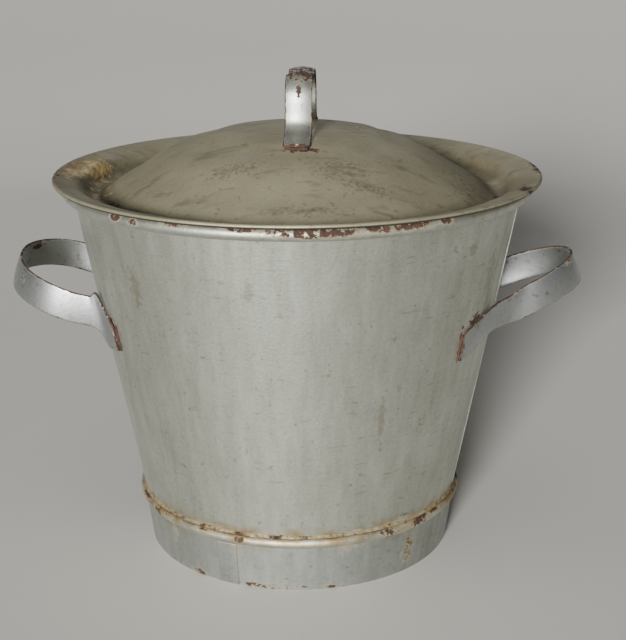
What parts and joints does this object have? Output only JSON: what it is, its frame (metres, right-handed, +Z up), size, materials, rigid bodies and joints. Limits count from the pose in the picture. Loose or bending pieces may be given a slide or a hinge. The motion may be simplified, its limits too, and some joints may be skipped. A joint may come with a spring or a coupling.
{
  "type": "lidded stock pot",
  "caption": "Tapered zinc-dipped steel pot on a beaded foot ring, with strap side handles and a domed lift-off lid with a strap handle.",
  "frame": {"origin": "middle of the foot ring's lower edge, on the floor", "axes": "+Z up, the pot's axis; the side handles lie along X; the lid handle's strap runs along Y"},
  "size_m": [0.3588, 0.3, 0.2995],
  "materials": {
    "body_zinc": "dull aged zinc-dipped sheet steel",
    "foot_zinc": "dull aged zinc-dipped sheet steel, rusty at the bead",
    "lid_zinc": "grimy olive-grey aged zinc-dipped sheet steel",
    "handle_zinc": "satin zinc-dipped strap steel, rusty at its edges",
    "wire": "drawn steel wire",
    "solder": "dull solder stained by rust",
    "weld": "rusted weld metal"
  },
  "bodies": {
    "pot": {"body_wall": "body_zinc", "rim_wire": "wire", "bottom_disc": "body_zinc", "bottom_solder": "solder", "foot_ring": "foot_zinc", "foot_solder": "solder", "left_handle": "handle_zinc", "left_handle_welds": "weld", "right_handle": "handle_zinc", "right_handle_welds": "weld"},
    "lid": {"lid_shell": "lid_zinc", "lid_handle": "handle_zinc", "lid_handle_welds": "weld"}
  },
  "joints": [
    {"name": "lid_lift", "type": "slide", "parent": "pot", "child": "lid", "axis": [0, 0, 1], "range_m": [0, 0.2]}
  ]
}
